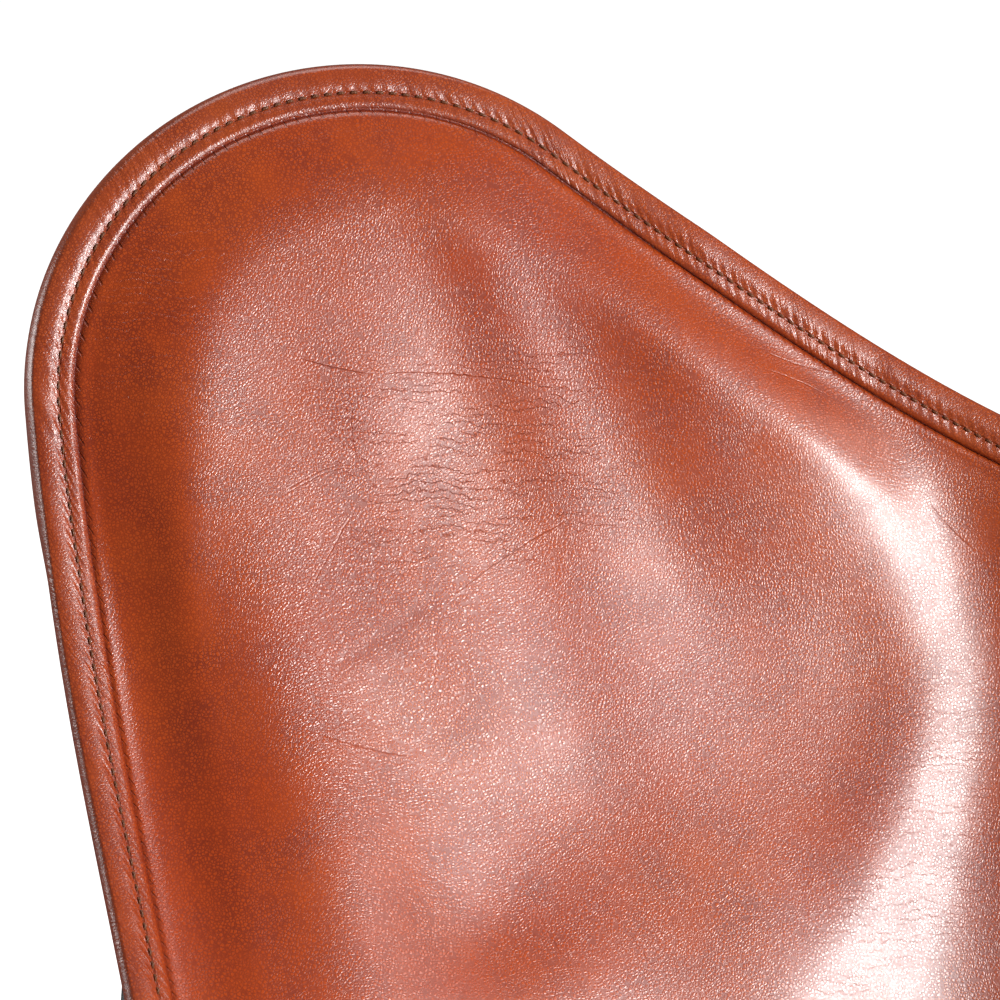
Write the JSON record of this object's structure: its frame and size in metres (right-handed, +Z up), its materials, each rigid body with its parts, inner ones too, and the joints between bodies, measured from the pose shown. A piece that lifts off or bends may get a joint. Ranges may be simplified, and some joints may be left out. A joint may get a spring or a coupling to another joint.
{
  "type": "butterfly sling chair",
  "caption": "Low lounge chair: a bound and stitched leather sling whose corner pockets hang on a crossed frame of bent round steel rod.",
  "frame": {"origin": "middle of the bounding box, on the floor", "axes": "+Z up, the sitter faces -Y, +X to the right of someone who looks along +Y"},
  "size_m": [0.8116, 0.754, 0.9031],
  "materials": {
    "frame_coat": "black powder coat, satin",
    "zinc_steel": "bright zinc plate",
    "black_nylon": "moulded, matte",
    "tan_leather": "polished tan hide, fine pebble grain, glossy",
    "lining_leather": "matte flesh side"
  },
  "bodies": {
    "root": {"frame_loop_a": "frame_coat", "frame_loop_b": "frame_coat", "crossing_bolt_front": "zinc_steel", "crossing_head_washer_front": "zinc_steel", "crossing_nut_washer_front": "zinc_steel", "cap_nut_front": "zinc_steel", "crossing_bolt_right": "zinc_steel", "crossing_head_washer_right": "zinc_steel", "crossing_nut_washer_right": "zinc_steel", "cap_nut_right": "zinc_steel", "crossing_bolt_rear": "zinc_steel", "crossing_head_washer_rear": "zinc_steel", "crossing_nut_washer_rear": "zinc_steel", "cap_nut_rear": "zinc_steel", "crossing_bolt_left": "zinc_steel", "crossing_head_washer_left": "zinc_steel", "crossing_nut_washer_left": "zinc_steel", "cap_nut_left": "zinc_steel", "floor_glide_front_left": "black_nylon", "floor_glide_front_right": "black_nylon", "floor_glide_rear_right": "black_nylon", "floor_glide_rear_left": "black_nylon", "hide_back_left": "tan_leather", "hide_back_right": "tan_leather", "hide_seat_left": "tan_leather", "hide_seat_right": "tan_leather", "binding_front_left": "tan_leather", "binding_front_right": "tan_leather", "binding_rear_right": "tan_leather", "binding_rear_left": "tan_leather", "pocket_front_left": "lining_leather", "pocket_front_right": "lining_leather", "pocket_rear_right": "lining_leather", "pocket_rear_left": "lining_leather"}
  },
  "joints": []
}
